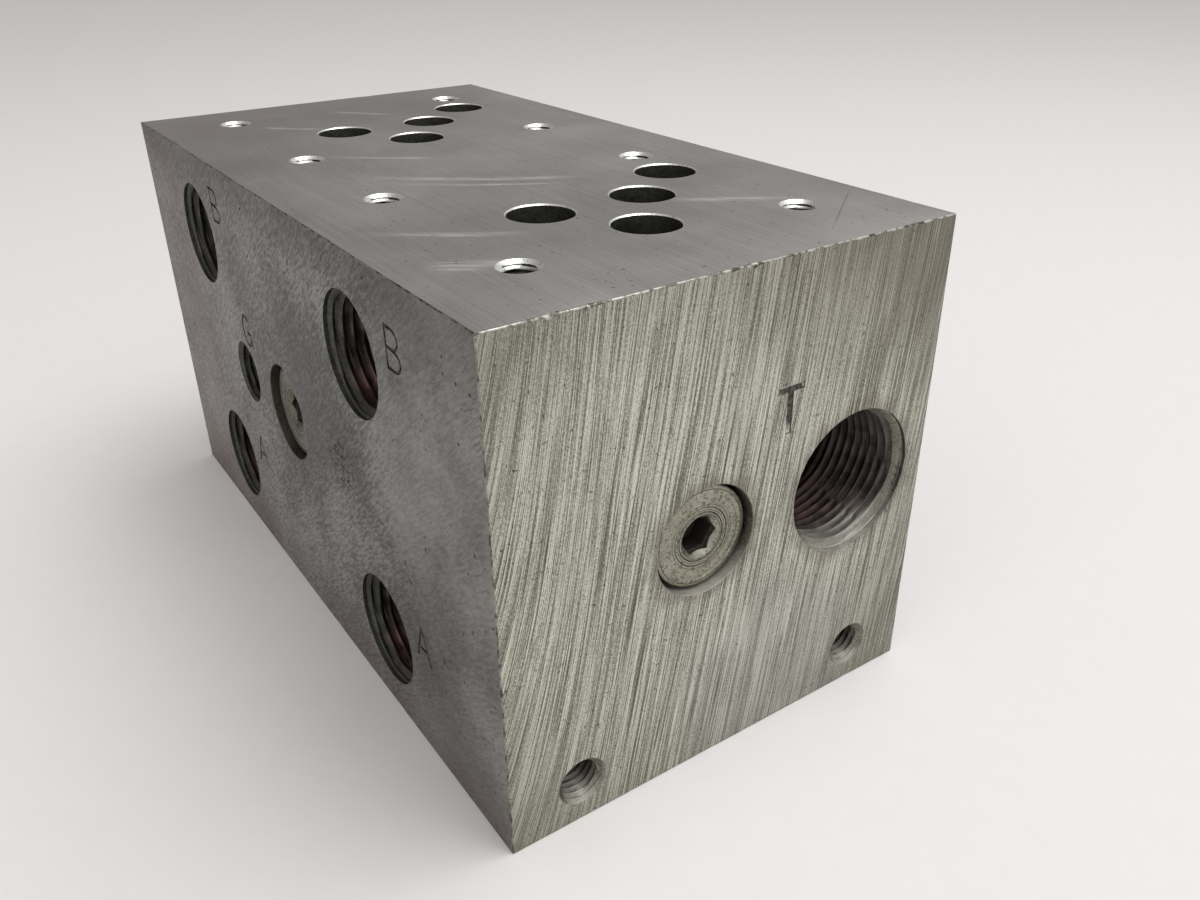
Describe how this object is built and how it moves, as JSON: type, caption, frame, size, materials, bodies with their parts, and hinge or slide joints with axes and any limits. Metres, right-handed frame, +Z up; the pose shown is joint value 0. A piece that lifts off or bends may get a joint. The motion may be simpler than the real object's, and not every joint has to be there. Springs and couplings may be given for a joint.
{
  "type": "hydraulic manifold block",
  "caption": "Rectangular steel hydraulic manifold block with two valve faces on top, threaded working, tank, pressure and gauge ports, and recessed hexagon-socket screw plugs.",
  "frame": {"origin": "centre of the block's base", "axes": "+X along the block to the end with the tank port, -Y out of the face with the working ports, +Z up out of the valve faces"},
  "size_m": [0.1644, 0.0874, 0.0888],
  "materials": {
    "block_steel": "ground valve face, sawn ends and darker milled sides",
    "plug_steel": "turned, dull zinc plated",
    "seal_metal": "dull, pressed flat"
  },
  "bodies": {
    "block": {"manifold_block": "block_steel"},
    "pressure_gallery_seal": {"pressure_gallery_seal": "seal_metal"},
    "pressure_gallery_plug": {"pressure_gallery_plug": "plug_steel"},
    "cross_drilling_seal": {"cross_drilling_seal": "seal_metal"},
    "cross_drilling_plug": {"cross_drilling_plug": "plug_steel"},
    "tank_gallery_seal": {"tank_gallery_seal": "seal_metal"},
    "tank_gallery_plug": {"tank_gallery_plug": "plug_steel"}
  },
  "joints": [
    {"name": "pressure_gallery_plug_lift", "type": "slide", "parent": "block", "child": "pressure_gallery_seal", "axis": [1, 0, 0], "range_m": [0, 0.0107]},
    {"name": "pressure_gallery_plug_turn", "type": "hinge", "parent": "pressure_gallery_seal", "child": "pressure_gallery_plug", "pos_m": [0.08225, -0.0061, 0.0452], "axis": [1, 0, 0], "range_deg": [0, 2880.5]},
    {"name": "cross_drilling_plug_lift", "type": "slide", "parent": "block", "child": "cross_drilling_seal", "axis": [0, -1, 0], "range_m": [0, 0.0107]},
    {"name": "cross_drilling_plug_turn", "type": "hinge", "parent": "cross_drilling_seal", "child": "cross_drilling_plug", "pos_m": [-0.00115, -0.04375, 0.0452], "axis": [0, -1, 0], "range_deg": [0, 2880.5]},
    {"name": "tank_gallery_plug_lift", "type": "slide", "parent": "block", "child": "tank_gallery_seal", "axis": [-1, 0, 0], "range_m": [0, 0.0107]},
    {"name": "tank_gallery_plug_turn", "type": "hinge", "parent": "tank_gallery_seal", "child": "tank_gallery_plug", "pos_m": [-0.08225, 0.026, 0.0452], "axis": [-1, 0, 0], "range_deg": [0, 2880.5]}
  ],
  "couplings": [
    {"joint": "pressure_gallery_plug_turn", "follows": "pressure_gallery_plug_lift", "rad_per_m": 4699.5},
    {"joint": "cross_drilling_plug_turn", "follows": "cross_drilling_plug_lift", "rad_per_m": 4699.5},
    {"joint": "tank_gallery_plug_turn", "follows": "tank_gallery_plug_lift", "rad_per_m": 4699.5}
  ]
}
